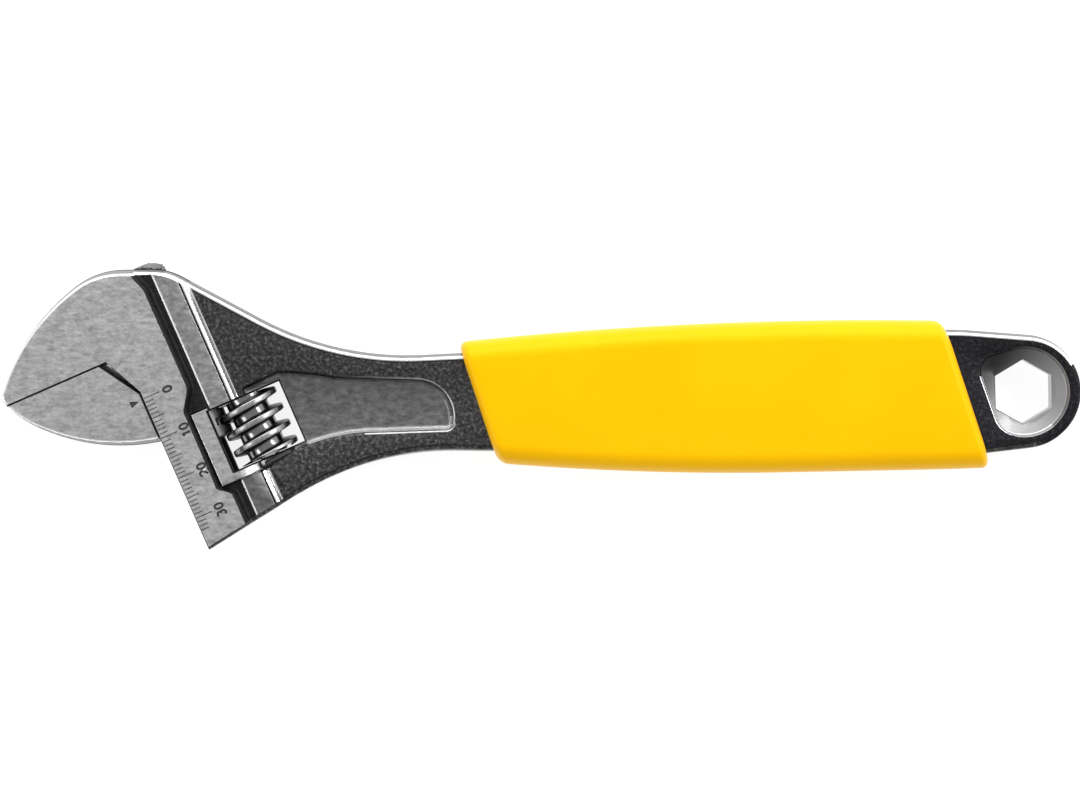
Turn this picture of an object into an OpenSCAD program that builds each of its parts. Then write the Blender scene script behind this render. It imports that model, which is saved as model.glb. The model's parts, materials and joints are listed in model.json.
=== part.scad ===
// Adjustable wrench, 250 mm class, lying flat.
// +X runs along the handle towards the ring, +Y is the fixed-jaw side, +Z is up.
// The origin is the centre of the footprint, on the surface that the wrench lies on. The head
// reaches further on the +Y side, so the handle's own axis lies a little below y = 0.
// A chain is a list of arcs [centre x, centre y, radius, start angle, end angle], joined by
// straight lines, anticlockwise round the solid. A negative radius is a hollow curve.

/* [Head] */
// Thickness over the ground faces of the head and the movable jaw, and over the grip
head_t = 15.4; // [15.2:0.1:16]
// Thickness over the narrow step beside the ground faces
step_t = 12; // [11.2:0.1:12]
// Widest opening between the jaws
opening = 30; // [24:0.5:30]
// Side play of the movable jaw against the head
side_play = 0.15; // [0.1:0.05:0.3]

/* [Handle] */
// Thickness of the handle and the ring
handle_t = 9; // [8:0.1:10]
// Thickness left at the bottom of the neck panel
panel_t = 6; // [4:0.1:7]
// Across flats of the hexagonal hole in the ring
hex_af = 13; // [10:0.5:14]
// Width of the flared mouth round the hexagonal hole
dish_d = 20.4; // [17:0.1:21]

/* [Rail] */
// Diameter of the rail on the movable jaw
rail_d = 10.8; // [10.6:0.1:10.9]
// Clearance of the rail in its bore, all round
rail_play = 0.1; // [0.06:0.02:0.12]
// Thickness of the plate that joins the rail to the jaw
plate_t = 5.6; // [4.5:0.1:6]

/* [Worm] */
// Outer diameter of the worm's thread
worm_d = 15; // [14.6:0.1:15]
// Diameter of the worm's core
core_d = 9.4; // [9:0.1:9.6]
// Length of the worm
worm_l = 14.8; // [14:0.1:14.9]
// Lead of the single right-hand thread, and spacing of the rack teeth
pitch = 4.1; // [4:0.05:4.2]
// Diameter of the pin that the worm turns on
pin_d = 4.6; // [4:0.1:4.8]
// Clearance of the worm on its pin, all round
pin_play = 0.05; // [0.02:0.01:0.08]

/* [Grip] */
// Radius along the long edges of the grip sleeve
grip_r = 5; // [3:0.5:6]

/* [Hidden] */
$fn = 96;
tiny = 0.01;
over = 1;                          // how far a cutter runs past a face
far = 70;                          // well outside the head, measured from the rail's end

// Head frame: x across the head towards the handle, y against the opening direction,
// with its origin where the rail's axis crosses the plane of the closed jaw faces.
head_at = [-86.4, 16.3];
head_angle = 22.5;
front_x = -10.1;                   // the head's front edge, which carries the scale
throat = [-14.5, -9.3];            // x where the fixed jaw's face ends, y where the front edge starts
jaw_gap = 0.05;                    // between the faces of the closed jaws
jaw_throat = [throat[0] - 1.8, throat[1] - 0.3];       // the same two places on the movable jaw
ground_edge = [[-0.8, 40], [-0.8, 16], [0.7, 11], [0.8, -12], [-2.3, -18.4], [-2.4, -36.4],
               [0.4, -39.5], [0.6, -far]];             // the ground face's edge on the handle side
ground_inset = 0.8;                // how far the draft of the sides leans in, at the ground faces
step_x = 8.1;                      // where the step beside the ground face ends
step_inset = 0.4;
strip_x = [3.5, 8.1];              // the narrow raised strip on the step
strip_t = 13.5;
lip_y = [-36.5, -18.5];            // the lip between the ground face and the window
lip_t = 14.2;

// Worm window and worm
window_x = [2.3, 19.8];
window_y = [-34.7, -19.6];
worm_x = 10.8;
window_mid = (window_y[0] + window_y[1]) / 2;
crest_w = 1.3;                     // width of the thread at its crest
root_w = 2.1;                      // width of the thread at the core
ridge_at = 21;                     // how far below the jaw faces the thread's handle side crosses z = 0
spring_d = 7.2;
spring_wire = 0.8;
spring_l = 5;
spring_turns = 4;
counterbore_d = 7.6;               // in the worm's upper end, for the spring

// Pin
pin_top = -13.5;                   // the pin's tip, in its blind hole above the window
pin_foot = -45.3;                  // the slotted end of the pin
pin_end_play = 0.4;                // past the pin's tip
thread_d = 6.4;                    // the pin's screwed end, at the thread's crest
thread_root_d = 5.6;
thread_pitch = 1;
thread_top = -36.2;                // where the screwed end starts
slot_w = 1.2;                      // screwdriver slot
slot_depth = 1.4;

// Rail and rack
rail_y = [-26.4, 10.6];
plate_y = [-21, -10];
bore_top = 12.6;
tooth_y = -25.05;                  // centre of the lowest rack tooth at rest
teeth = 9;
tooth_root_x = 2.9;
tooth_tip_w = 1.7;
tooth_root_w = 2.4;
lead_angle = 5.2;                  // lean of the rack teeth, to follow the thread
boss_y = [10, 17.05];
boss_r = 5.3;
boss_chamfer = 1.2;
vent_r = 1.6;

// Ring
ring_at = [111.4, 0];
dish_depth = 1.8;

// Scale on the front edge and pointer on the jaw
tick_zero = -11;                   // y of the zero tick
tick_w = 0.18;
tick_l = [2.3, 3.2, 4.2];          // every millimetre, every five and every ten
ticks = opening + 4;               // the scale runs on a little past the widest opening
cut = 0.15;                        // depth of the engraving

// Outline of the forging with both jaws closed: shared arcs first
ring_arc = [111.8, 0, 13.2, -85, 85];
shoulder_top = [94, -45.3, 60, 85, 91.7];
neck_top = [-29.5, 83.1, -72, -88.3, -119.2];
crown_back = [-89.5, 18.15, 14, 60.8, 90];
crown = [-96.35, 13.8, 18.35, 90, 126.7];
brow = [-77.5, -11.5, 49.9, 126.7, 161.6];
tip = [-122, 3.3, 3, 161.6, 225.3];
chin = [-104.5, 21, 27.9, 225.3, 244.8];
jaw_belly = [-96.8, 37.4, 46, 244.8, 286];
neck_low = [-22, -80, -68.8, 121, 88.3];
shoulder_low = [94, 45.3, 60, 268.3, 275];
heel = [-79.4, -33.54, 0.6, 180, 301];          // lies past the front edge, and is cut away

body_chain = [ring_arc, shoulder_top, neck_top, crown_back, crown, brow, tip, chin, heel,
              neck_low, shoulder_low];
jaw_chain = [[-86, 6, 1, -70, 90], crown, brow, tip, chin, jaw_belly];

// Grip: its edges seen from above, and how far its slanted ends lean
grip_end_x = [-14.7, 98.1];        // where the slanted ends cross y = 0
grip_slant = 17.3;                 // lean of the ends
grip_side = 5;                     // how far the long edges are rounded, seen from above
grip_rim = 2.2;                    // rounding round the end faces
grip_rows = 7;
grip_t = head_t;                   // so that the head and the grip both lie on the table

// Neck panel: the outline of the shallow pocket that runs from the window to the grip
panel_chain = [[-29, -3.1, 8.8, -12, 84], [-62, -60.5, 68.5, 78, 88.5], [-60.5, 7.4, 0.6, 88.5, 112],
               [-68.2, 3.9, 0.6, 112, 180], [-64, -13.05, 1.2, 192, 303],
               [-38.5, -52.3, -45.6, 123, 93], [-22.2, -4.3, 2.2, 262, 348]];

function arc(a, inset, n) =
    let (r = a[2] > 0 ? max(a[2] - inset, 0.05) : -a[2] + inset)
    [for (i = [0 : n]) let (t = a[3] + (a[4] - a[3]) * i / n)
        [a[0] + r * cos(t), a[1] + r * sin(t)]];
function steps(a) = max(2, ceil(abs(a[4] - a[3]) / 6), ceil(abs(a[2] * (a[4] - a[3])) / 180));
function chain(arcs, inset = 0) = [for (a = arcs) each arc(a, inset, steps(a))];

module slab(points, thickness) {
    translate([0, 0, -thickness / 2]) linear_extrude(thickness) polygon(points);
}

// Everything is drawn about the handle's axis and mid-plane, then placed by this
module placed() {
    translate([0, -0.4, grip_t / 2]) children();
}

module in_head() {
    translate(head_at) rotate(head_angle) children();
}

// A cylinder along the head frame's y, from y0 to y1
module rod(x, y0, y1, d) {
    translate([x, y0, 0]) rotate([-90, 0, 0]) cylinder(h = y1 - y0, d = d);
}

// ---- body ----

// A tall block between two places across the head and two along the opening direction
module block(x, y) {
    in_head() translate([x[0], y[0], -head_t]) cube([x[1] - x[0], y[1] - y[0], 2 * head_t]);
}

// The ground face: everything in front of the rail, with a waist beside the window
module ground_zone() {
    in_head() translate([0, 0, -head_t]) linear_extrude(2 * head_t)
        polygon(concat([[-far, 40]], ground_edge, [[-far, -far]]));
}

module forging() {
    slab(chain(body_chain), handle_t);
    intersection() {
        slab(chain(body_chain, step_inset), step_t);
        block([-far, step_x], [-far, far]);
    }
    intersection() {
        slab(chain(body_chain, ground_inset), strip_t);
        block(strip_x, [-far, far]);
    }
    intersection() {
        slab(chain(body_chain, ground_inset), head_t);
        ground_zone();
    }
    intersection() {
        slab(chain(body_chain, ground_inset), lip_t);
        block([ground_edge[4][0], window_x[0]], lip_y);
    }
    in_head() {
        rod(0, boss_y[0], boss_y[1] - boss_chamfer, 2 * boss_r);
        translate([0, boss_y[1] - boss_chamfer - tiny, 0]) rotate([-90, 0, 0])
            cylinder(h = boss_chamfer + tiny, d1 = 2 * boss_r, d2 = 2 * (boss_r - boss_chamfer));
    }
}

module jaw_opening() {
    in_head() translate([0, 0, -head_t]) linear_extrude(2 * head_t)
        polygon([[-far, 0], [throat[0], 0], [front_x, throat[1]], [front_x, -far], [-far, -far]]);
}

module rail_way() {
    in_head() {
        rod(0, -far, bore_top, rail_d + 2 * rail_play);
        rod(0, bore_top - over, boss_y[1] + over, 2 * vent_r);
        translate([2 * front_x, -far, -plate_t / 2 - side_play])
            cube([-2 * front_x, far + throat[1] - 0.2, plate_t + 2 * side_play]);
    }
}

module pin_way() {
    in_head() {
        rod(worm_x, window_y[1] - over, pin_top + pin_end_play, pin_d + 2 * pin_play);
        rod(worm_x, thread_top - 0.3, window_y[0] + over, pin_d + 2 * pin_play);
        rod(worm_x, pin_foot - 2 * over, thread_top, thread_d + 0.1);
    }
}

module ring_hole() {
    translate(concat(ring_at, -handle_t)) rotate(30)
        cylinder(h = 2 * handle_t, d = hex_af / cos(30), $fn = 6);
    for (side = [0, 1]) mirror([0, 0, side])
        translate(concat(ring_at, handle_t / 2 - dish_depth))
            cylinder(h = dish_depth + tiny, d1 = hex_af / cos(30) - 0.4, d2 = dish_d);
}

module neck_panels() {
    depth = (handle_t - panel_t) / 2;
    for (side = [0, 1]) mirror([0, 0, side])
        translate([0, 0, handle_t / 2 - depth]) linear_extrude(depth + over) polygon(chain(panel_chain));
}

// Millimetre ticks on both faces of the front edge
module scale_cuts() {
    in_head() for (side = [0, 1]) mirror([0, 0, side]) for (i = [0 : ticks - 1]) {
        long = i % 10 == 0 ? tick_l[2] : i % 5 == 0 ? tick_l[1] : tick_l[0];
        translate([front_x - over, tick_zero - i - tick_w / 2, head_t / 2 - cut])
            cube([over + long, tick_w, over]);
    }
}

module body() {
    color("gainsboro") placed() difference() {
        forging();
        jaw_opening();
        rail_way();
        block(window_x, window_y);
        pin_way();
        ring_hole();
        neck_panels();
        scale_cuts();
    }
}

// ---- movable jaw ----

module jaw_block() {
    difference() {
        union() {
            slab(chain(jaw_chain), step_t);
            slab(chain(jaw_chain, ground_inset), head_t);
        }
        in_head() translate([0, 0, -head_t]) linear_extrude(2 * head_t) polygon(
            [[-far, far], [-far, -jaw_gap], [jaw_throat[0], -jaw_gap], [front_x - side_play, jaw_throat[1]],
             [front_x - side_play, -far], [far, -far], [far, far]]);
    }
}

// One space between rack teeth, leaning with the thread
module tooth_space(y) {
    depth = rail_d / 2 - tooth_root_x + over;
    wide = (pitch - tooth_tip_w) / 2 + over * (tooth_root_w - tooth_tip_w) / 2 / (depth - over);
    narrow = (pitch - tooth_root_w) / 2;
    translate([tooth_root_x, y, 0]) rotate([-lead_angle, 0, 0]) translate([0, 0, -rail_d])
        linear_extrude(2 * rail_d)
            polygon([[0, -narrow], [depth, -wide], [depth, wide], [0, narrow]]);
}

module rail() {
    difference() {
        rod(0, rail_y[0], rail_y[1], rail_d);
        for (i = [-1 : teeth - 1]) tooth_space(tooth_y + pitch * (i + 0.5));
    }
}

module movable_jaw() {
    color("silver") placed() {
        union() {
            jaw_block();
            in_head() {
                translate([front_x - over, plate_y[0], -plate_t / 2])
                    cube([-front_x + over, plate_y[1] - plate_y[0], plate_t]);
                rail();
            }
        }
    }
}

// ---- worm, pin and spring ----

// The thread as one ridge wound round the core. Its axis is z, and it starts below z = 0.
module ridge(turns, per_turn = 36) {
    buried = 0.4;                                          // depth of the ridge's foot in the core
    inner = core_d / 2 - buried;
    outer = worm_d / 2;
    n = ceil(turns * per_turn);
    spread = (root_w - crest_w) / (worm_d - core_d);       // flank lean, width per radius
    root = root_w + spread * 2 * buried;
    section = [[inner, -root / 2], [outer, -crest_w / 2], [outer, crest_w / 2], [inner, root / 2]];
    points = [for (i = [0 : n], p = section)
        let (a = i * 360 / per_turn) [p[0] * cos(a), p[0] * sin(a), p[1] + pitch * i / per_turn]];
    sides = [for (i = [0 : n - 1], j = [0 : 3]) let (a = 4 * i + j, b = 4 * i + (j + 1) % 4) each
        [[a, b, b + 4], [a, b + 4, a + 4]]];
    polyhedron(points, concat([[3, 2, 1, 0]], sides, [[4 * n, 4 * n + 1, 4 * n + 2, 4 * n + 3]]));
}

// Cylinder with both end edges chamfered, which trims the thread
module worm_blank() {
    chamfer = 0.7;
    rotate_extrude() polygon([[0, 0], [worm_d / 2 - chamfer, 0], [worm_d / 2 + tiny, chamfer + tiny],
        [worm_d / 2 + tiny, worm_l - chamfer - tiny], [worm_d / 2 - chamfer, worm_l], [0, worm_l]]);
}

// The worm's z axis points down the opening direction, and its own x points to the handle
module worm_frame() {
    in_head() translate([worm_x, window_mid + worm_l / 2, 0]) rotate([90, 0, 0]) children();
}

module worm() {
    start = ridge_at + window_mid + worm_l / 2 - 2 * pitch;
    color("silver") placed() worm_frame() difference() {
        intersection() {
            union() {
                cylinder(h = worm_l, d = core_d);
                translate([0, 0, start]) ridge(5.6);
            }
            worm_blank();
        }
        translate([0, 0, -over]) cylinder(h = worm_l + 2 * over, d = pin_d + 2 * pin_play);
        translate([0, 0, -over]) cylinder(h = spring_l + over - 0.1, d = counterbore_d);
    }
}

module worm_pin() {
    color("dimgray") placed() in_head() difference() {
        union() {
            rod(worm_x, thread_top - 0.2, pin_top, pin_d);
            rod(worm_x, pin_foot, thread_top - 0.1, thread_root_d);
            turns = floor((thread_top - pin_foot) / thread_pitch);
            for (i = [0 : turns - 1]) translate([worm_x, pin_foot + (i + 0.1) * thread_pitch, 0])
                rotate([-90, 0, 0]) {
                    cylinder(h = 0.4, d1 = thread_root_d - 0.1, d2 = thread_d);
                    translate([0, 0, 0.4 - tiny]) cylinder(h = 0.4, d1 = thread_d, d2 = thread_root_d - 0.1);
                }
        }
        translate([worm_x - slot_w / 2, pin_foot - over, -5]) cube([slot_w, slot_depth + over, 10]);
    }
}

// Round wire wound at a steady lead between the window's upper wall and the worm's counterbore
module worm_spring() {
    per_turn = 20;
    sides = 8;
    n = spring_turns * per_turn;
    r = (spring_d - spring_wire) / 2;
    lead = (spring_l - 0.1 - spring_wire) / spring_turns;
    points = [for (i = [0 : n], j = [0 : sides - 1])
        let (a = i * 360 / per_turn, b = j * 360 / sides,
             q = r + spring_wire / 2 * cos(b))
        [q * cos(a), q * sin(a), spring_wire / 2 * sin(b) + lead * i / per_turn]];
    skin = [for (i = [0 : n - 1], j = [0 : sides - 1])
        let (a = sides * i + j, b = sides * i + (j + 1) % sides) each
            [[a, b, b + sides], [a, b + sides, a + sides]]];
    ends = [[for (j = [sides - 1 : -1 : 0]) j], [for (j = [0 : sides - 1]) sides * n + j]];
    color("darkgray") placed() in_head()
        translate([worm_x, window_y[1] - 0.05 - spring_wire / 2, 0]) rotate([90, 0, 0])
            polyhedron(points, concat(skin, ends));
}

// ---- grip ----

// Half width of the sleeve on the +Y side and on the -Y side, along its length
function grip_up(x) = 17.4 - pow(max(66 - x, 0), 2) / 1900 - pow(max(x - 66, 0), 2) / 1700;
function grip_down(x) = 17.6 - pow(max(50 - x, 0), 2) / 1250 - pow(max(x - 80, 0), 2) / 1700;

// One section: a rounded box whose long edges are quarter ellipses, drawn in by "inset"
function grip_row(x, inset) =
    let (up = grip_up(x) - inset, down = grip_down(x) - inset, h = grip_t / 2 - inset,
         corners = [[up - grip_side, 0], [-down + grip_side, 90], [-down + grip_side, 180],
                    [up - grip_side, 270]])
    [for (c = corners, i = [0 : grip_rows]) let (a = c[1] + 90 * i / grip_rows,
        y = c[0] + grip_side * cos(a), z = (h - grip_r) * sign(sin(c[1] + 45)) + grip_r * sin(a))
        [x - y * tan(grip_slant), y, z]];

module grip_shell() {
    rim = 4;
    parts = 12;
    x0 = grip_end_x[0];
    x1 = grip_end_x[1];
    rows = concat(
        [for (i = [rim : -1 : 0]) let (a = 90 * i / rim)
            [x0 + grip_rim * (1 - sin(a)), grip_rim * (1 - cos(a))]],
        [for (i = [1 : parts - 1]) [x0 + (x1 - x0) * i / parts, 0]],
        [for (i = [0 : rim]) let (a = 90 * i / rim)
            [x1 - grip_rim * (1 - sin(a)), grip_rim * (1 - cos(a))]]);
    points = [for (r = rows) each grip_row(r[0], r[1])];
    m = 4 * (grip_rows + 1);
    last = (len(rows) - 1) * m;
    skin = [for (k = [0 : len(rows) - 2], i = [0 : m - 1])
        let (a = k * m + i, b = k * m + (i + 1) % m) each [[b, a, a + m], [b, a + m, b + m]]];
    polyhedron(points, concat(skin, [[for (i = [0 : m - 1]) i]], [[for (i = [m - 1 : -1 : 0]) last + i]]));
}

module grip() {
    fit = 0.1;
    color("gold") placed() difference() {
        grip_shell();
        slab(chain(body_chain, -fit), handle_t + 2 * fit);
    }
}

body();
movable_jaw();
worm();
worm_pin();
worm_spring();
grip();
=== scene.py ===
"""The looks of the adjustable wrench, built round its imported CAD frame.

Sizes are millimetres in the wrench's own axes: x along the handle, y towards the fixed jaw's side and
z up from the mid-plane. On the head, n runs across it towards the handle and t the way that the
movable jaw opens, both from the point where the rail's axis meets the closed jaw faces.
"""

import json
import math

import bpy
import numpy as np
from mathutils import Matrix, Vector
from mathutils.geometry import delaunay_2d_cdt


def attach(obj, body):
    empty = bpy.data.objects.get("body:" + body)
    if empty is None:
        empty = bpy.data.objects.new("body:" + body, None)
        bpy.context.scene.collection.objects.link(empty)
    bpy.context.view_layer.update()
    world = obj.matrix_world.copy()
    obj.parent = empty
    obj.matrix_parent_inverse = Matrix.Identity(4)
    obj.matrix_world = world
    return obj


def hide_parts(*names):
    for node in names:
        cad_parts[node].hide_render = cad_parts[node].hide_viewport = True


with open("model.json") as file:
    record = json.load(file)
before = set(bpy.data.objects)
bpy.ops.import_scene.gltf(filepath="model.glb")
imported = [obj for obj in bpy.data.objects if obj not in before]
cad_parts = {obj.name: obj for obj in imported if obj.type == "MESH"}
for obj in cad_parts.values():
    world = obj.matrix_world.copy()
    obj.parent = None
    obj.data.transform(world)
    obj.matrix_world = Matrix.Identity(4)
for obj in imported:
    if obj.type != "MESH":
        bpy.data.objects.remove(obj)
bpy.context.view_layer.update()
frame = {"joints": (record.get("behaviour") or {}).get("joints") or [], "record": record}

# ---- places taken from the frame ----

MM = 0.001
JOINTS = {j["name"]: j for j in frame["joints"]}
MOUNTS = {m["name"]: m for m in frame["record"]["mounts"]}
AXIS_Y = MOUNTS["ring_hole"]["pos_m"][1]  # the handle's axis
MID_Z = JOINTS["worm_spin"]["pos_m"][2]  # the mid-plane
T = np.array(JOINTS["jaw_slide"]["axis"][:2])  # the way the jaw opens
N = np.array([-T[1], T[0]])
WORM_N = 10.8                                     # the worm's centre in the head's axes
WORM_T = 27.15
WORM_XY = (np.array(JOINTS["worm_spin"]["pos_m"][:2]) - (0, AXIS_Y)) / MM
HEAD = WORM_XY - WORM_N * N - WORM_T * T
RING = (MOUNTS["ring_hole"]["pos_m"][0] / MM, 0)

# ---- sizes shared with the CAD ----

HEAD_H = 7.7             # half thickness of the ground faces
SHELF_H = 6.0            # of the step beside them
STRIP_H = 6.5            # of the narrow strip on the step
LIP_H = 7.1              # of the lip along the window
HANDLE_H = 4.5           # of the handle and ring
WINDOW = (2.3, 19.8, 19.6, 34.7)  # lowest n, highest n, lowest t, highest t
FRONT_N = -10.1                                   # the head's front edge
THROAT = ((-14.5, 0), (FRONT_N, 9.3))  # n, t where the fixed throat starts and ends
JAW_GAP = 0.05
SIDE_PLAY = 0.15
RAIL_R = 5.4
RAIL_T = (-10.6, 26.4)
PLATE_H = 2.8
PLATE_T = (10, 21)
BORE_R = 5.5
PITCH = 4.1
TOOTH_T = 25.05
TEETH = 9
TOOTH_LEAN = 5.2
HEX_AF = 13.0
BOSS_R = 5.3
BOSS_N = 0.8             # the boss sits a little to the handle side of the rail's axis
BOSS_T = -17.6
PIN_T = (13.5, 45.3)                              # the pin's tip and its slotted end
PIN_HOLE_R = 2.35        # of its narrow hole, and of the worm's
SCREW_HOLE_R = 3.25      # of the wider hole for its screwed end
SCREW_HOLE_T = 36.3      # where that starts

# Outlines are chains of arcs (centre x, centre y, radius, first angle, last angle), joined by straight
# lines, anticlockwise round the solid. A negative radius is a hollow curve.
RING_ARC = (111.8, 0, 13.2, -85, 85)
SHOULDER_TOP = (94, -45.3, 60, 85, 91.7)
NECK_TOP = (-29.5, 83.1, -72, -88.3, -119.2)
CROWN_BACK = (-89.5, 18.15, 14, 60.8, 90)
CROWN = (-96.35, 13.8, 18.35, 90, 126.7)
BROW = (-77.5, -11.5, 49.9, 126.7, 161.6)
TIP = (-122, 3.3, 3, 161.6, 225.3)
CHIN = (-104.5, 21, 27.9, 225.3, 244.8)
JAW_BELLY = (-96.8, 37.4, 46, 244.8, 286)
HEEL = (-79.4, -33.54, 0.6, 180, 301)
NECK_LOW = (-22, -80, -68.8, 121, 88.3)
SHOULDER_LOW = (94, 45.3, 60, 268.3, 275)
BODY = (RING_ARC, SHOULDER_TOP, NECK_TOP, CROWN_BACK, CROWN, BROW, TIP, CHIN, HEEL, NECK_LOW, SHOULDER_LOW)
JAW = ((-86, 6, 1, -70, 90), CROWN, BROW, TIP, CHIN, JAW_BELLY)
PANEL = ((-29, -3.1, 8.8, -12, 84), (-62, -60.5, 68.5, 78, 88.5), (-60.5, 7.4, 0.6, 88.5, 112),
         (-68.2, 3.9, 0.6, 112, 180), (-64, -13.05, 1.2, 192, 303), (-38.5, -52.3, -45.6, 123, 93),
         (-22.2, -4.3, 2.2, 262, 348))
DISH = ((111.4, 0, 10.3, -106.2, 104.8), (105.07, 4.84, 4, 104.8, 197.3), (110.2, -4.13, 6, 197.3, 253.8))


# ---- curves ----

def arc_points(arc, inset=0.0, step=4.0):
    """Points along one arc of a chain, drawn in by inset."""
    cx, cy, radius, first, last = arc
    r = max(radius - inset, 0.05) if radius > 0 else inset - radius
    count = max(2, math.ceil(abs(last - first) / step), math.ceil(r * abs(last - first) / 150))
    angles = np.radians(np.linspace(first, last, count + 1))
    return [(cx + r * math.cos(a), cy + r * math.sin(a)) for a in angles]


def chain(arcs, inset=0.0):
    """Points along a whole chain of arcs, drawn in by inset."""
    return [p for arc in arcs for p in arc_points(arc, inset)]


def head_point(n, t):
    return tuple(HEAD + n * N + t * T)


def head_line(*points):
    """A line through points given in the head's axes."""
    return [head_point(n, t) for n, t in points]


def head_axes(x, y):
    """n and t of points given as x and y."""
    rel = np.stack([x - HEAD[0], y - HEAD[1]])
    return N @ rel, T @ rel


def rectangle(n0, n1, t0, t1, grow=0.0):
    return head_line((n0 - grow, t0 - grow), (n1 + grow, t0 - grow), (n1 + grow, t1 + grow),
                     (n0 - grow, t1 + grow))


def hexagon(grow=0.0):
    r = (HEX_AF / 2 + grow) / math.cos(math.pi / 6)
    return [(RING[0] + r * math.cos(a), RING[1] + r * math.sin(a))
            for a in np.radians(np.arange(30, 390, 60))]


# ---- distances, for arrays of points ----

def line_distance(x, y, line, closed=True):
    """How far each point is from a line of points."""
    p = np.array(line, float)
    q = np.roll(p, -1, 0) if closed else p[1:]
    p = p if closed else p[:-1]
    best = np.full(x.shape, 1e9)
    for (ax, ay), (bx, by) in zip(p, q):
        dx, dy = bx - ax, by - ay
        along = np.clip(((x - ax) * dx + (y - ay) * dy) / max(dx * dx + dy * dy, 1e-12), 0, 1)
        best = np.minimum(best, np.hypot(x - ax - along * dx, y - ay - along * dy))
    return best


def inside(x, y, line):
    """Whether each point is inside a closed line."""
    hit = np.zeros(x.shape, bool)
    p = np.array(line, float)
    for (ax, ay), (bx, by) in zip(p, np.roll(p, -1, 0)):
        if ay != by:
            crosses = (ay > y) != (by > y)
            hit ^= crosses & (x < (bx - ax) * (y - ay) / (by - ay) + ax)
    return hit


def depth_inside(x, y, line):
    """Distance in from a closed line, negative outside it."""
    d = line_distance(x, y, line)
    return np.where(inside(x, y, line), d, -d)


def within(value, low, high):
    return (value > low) & (value < high)


def smooth_max(a, b, soft):
    """The larger of two heights, with a soft crease."""
    return np.maximum(a, b) + np.maximum(soft - np.abs(a - b), 0) ** 2 / (4 * soft)


def smooth_min(a, b, soft):
    return -smooth_max(-a, -b, soft)


def plateau(top, beyond, slope, soft):
    """Height of a raised flat whose sides slope down from where beyond is 0."""
    return smooth_min(top + 0 * beyond, top - beyond * slope, soft)


def forged_side(d, top, run, soft):
    """Height of a forged side at distance d in from the outline: a steep draft, then a round edge."""
    u = np.clip((d - run) / soft, 0, 1)
    return np.where(d < run, (top - soft) * np.clip(d / run, 0, 1),
                    top - soft * (1 - np.sqrt(1 - (1 - u) ** 2)))


# ---- meshes ----

def to_frame(points):
    """Millimetres in the wrench's axes to metres in the row frame."""
    return np.asarray(points, float) * MM + (0, AXIS_Y, MID_Z)


def head_to_frame(points):
    """Millimetres given as n, t and z to metres in the row frame."""
    p = np.asarray(points, float)
    xy = HEAD + p[:, :1] * N + p[:, 1:2] * T
    return to_frame(np.column_stack([xy, p[:, 2]]))


def volume(points, faces):
    """Six times the volume inside closed faces, negative if they face inwards."""
    fans = np.array([(f[0], f[k], f[k + 1]) for f in faces for k in range(1, len(f) - 1)])
    a, b, c = (points[fans[:, k]] for k in range(3))
    return float(np.einsum("ij,ij->", a, np.cross(b, c)))


def painter(materials, count, first):
    """Slots for that many faces, all of them first's, and a function that gives faces another material."""
    slots = np.full(count, materials.index(first))

    def use(material, where):
        slots[where] = materials.index(material)

    return slots, use


def mesh_object(name, points, faces, materials, slots=None, smooth_angle=32):
    """A closed mesh from points in the row frame. slots says which material each face has."""
    points = np.asarray(points)
    outward = volume(points, faces) > 0
    mesh = bpy.data.meshes.new(name)
    mesh.from_pydata(points.tolist(), [], [[int(i) for i in (f if outward else f[::-1])] for f in faces])
    for material in materials:
        mesh.materials.append(material)
    if slots is not None:
        mesh.polygons.foreach_set("material_index", np.asarray(slots, np.int32))
    mesh.validate()
    soften(mesh, smooth_angle)
    obj = bpy.data.objects.new(name, mesh)
    bpy.context.scene.collection.objects.link(obj)
    return obj


def soften(mesh, angle=32):
    """Smooth shading, apart from edges sharper than the angle."""
    mesh.polygons.foreach_set("use_smooth", [True] * len(mesh.polygons))
    mesh.set_sharp_from_angle(angle=math.radians(angle))


def combine(obj, tool, operation):
    """Cuts obj with tool or joins them into one solid, and removes tool."""
    modifier = obj.modifiers.new("combine", "BOOLEAN")
    modifier.operation = operation
    modifier.solver = "EXACT"
    modifier.object = tool
    modifier.material_mode = "TRANSFER"
    graph = bpy.context.evaluated_depsgraph_get()
    made = bpy.data.meshes.new_from_object(obj.evaluated_get(graph))
    obj.modifiers.clear()
    old = obj.data
    obj.data = made
    made.name = obj.name
    bpy.data.meshes.remove(old)
    bpy.data.objects.remove(tool)
    soften(made)
    return obj


def prisms(name, outlines, low, high, material):
    """Upright prisms over closed outlines, in one mesh, for cutting with."""
    points, faces = [], []
    for outline in outlines:
        start = len(points)
        area = sum(a[0] * b[1] - a[1] * b[0] for a, b in zip(outline, outline[1:] + outline[:1]))
        line = outline if area > 0 else outline[::-1]
        rows = [[(x, y, z) for x, y in line] for z in (low, high)]
        points += rows[0] + rows[1]
        faces += [[start + i for i in face] for face in swept(rows)]
    return mesh_object(name, to_frame(points), faces, [material])


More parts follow.
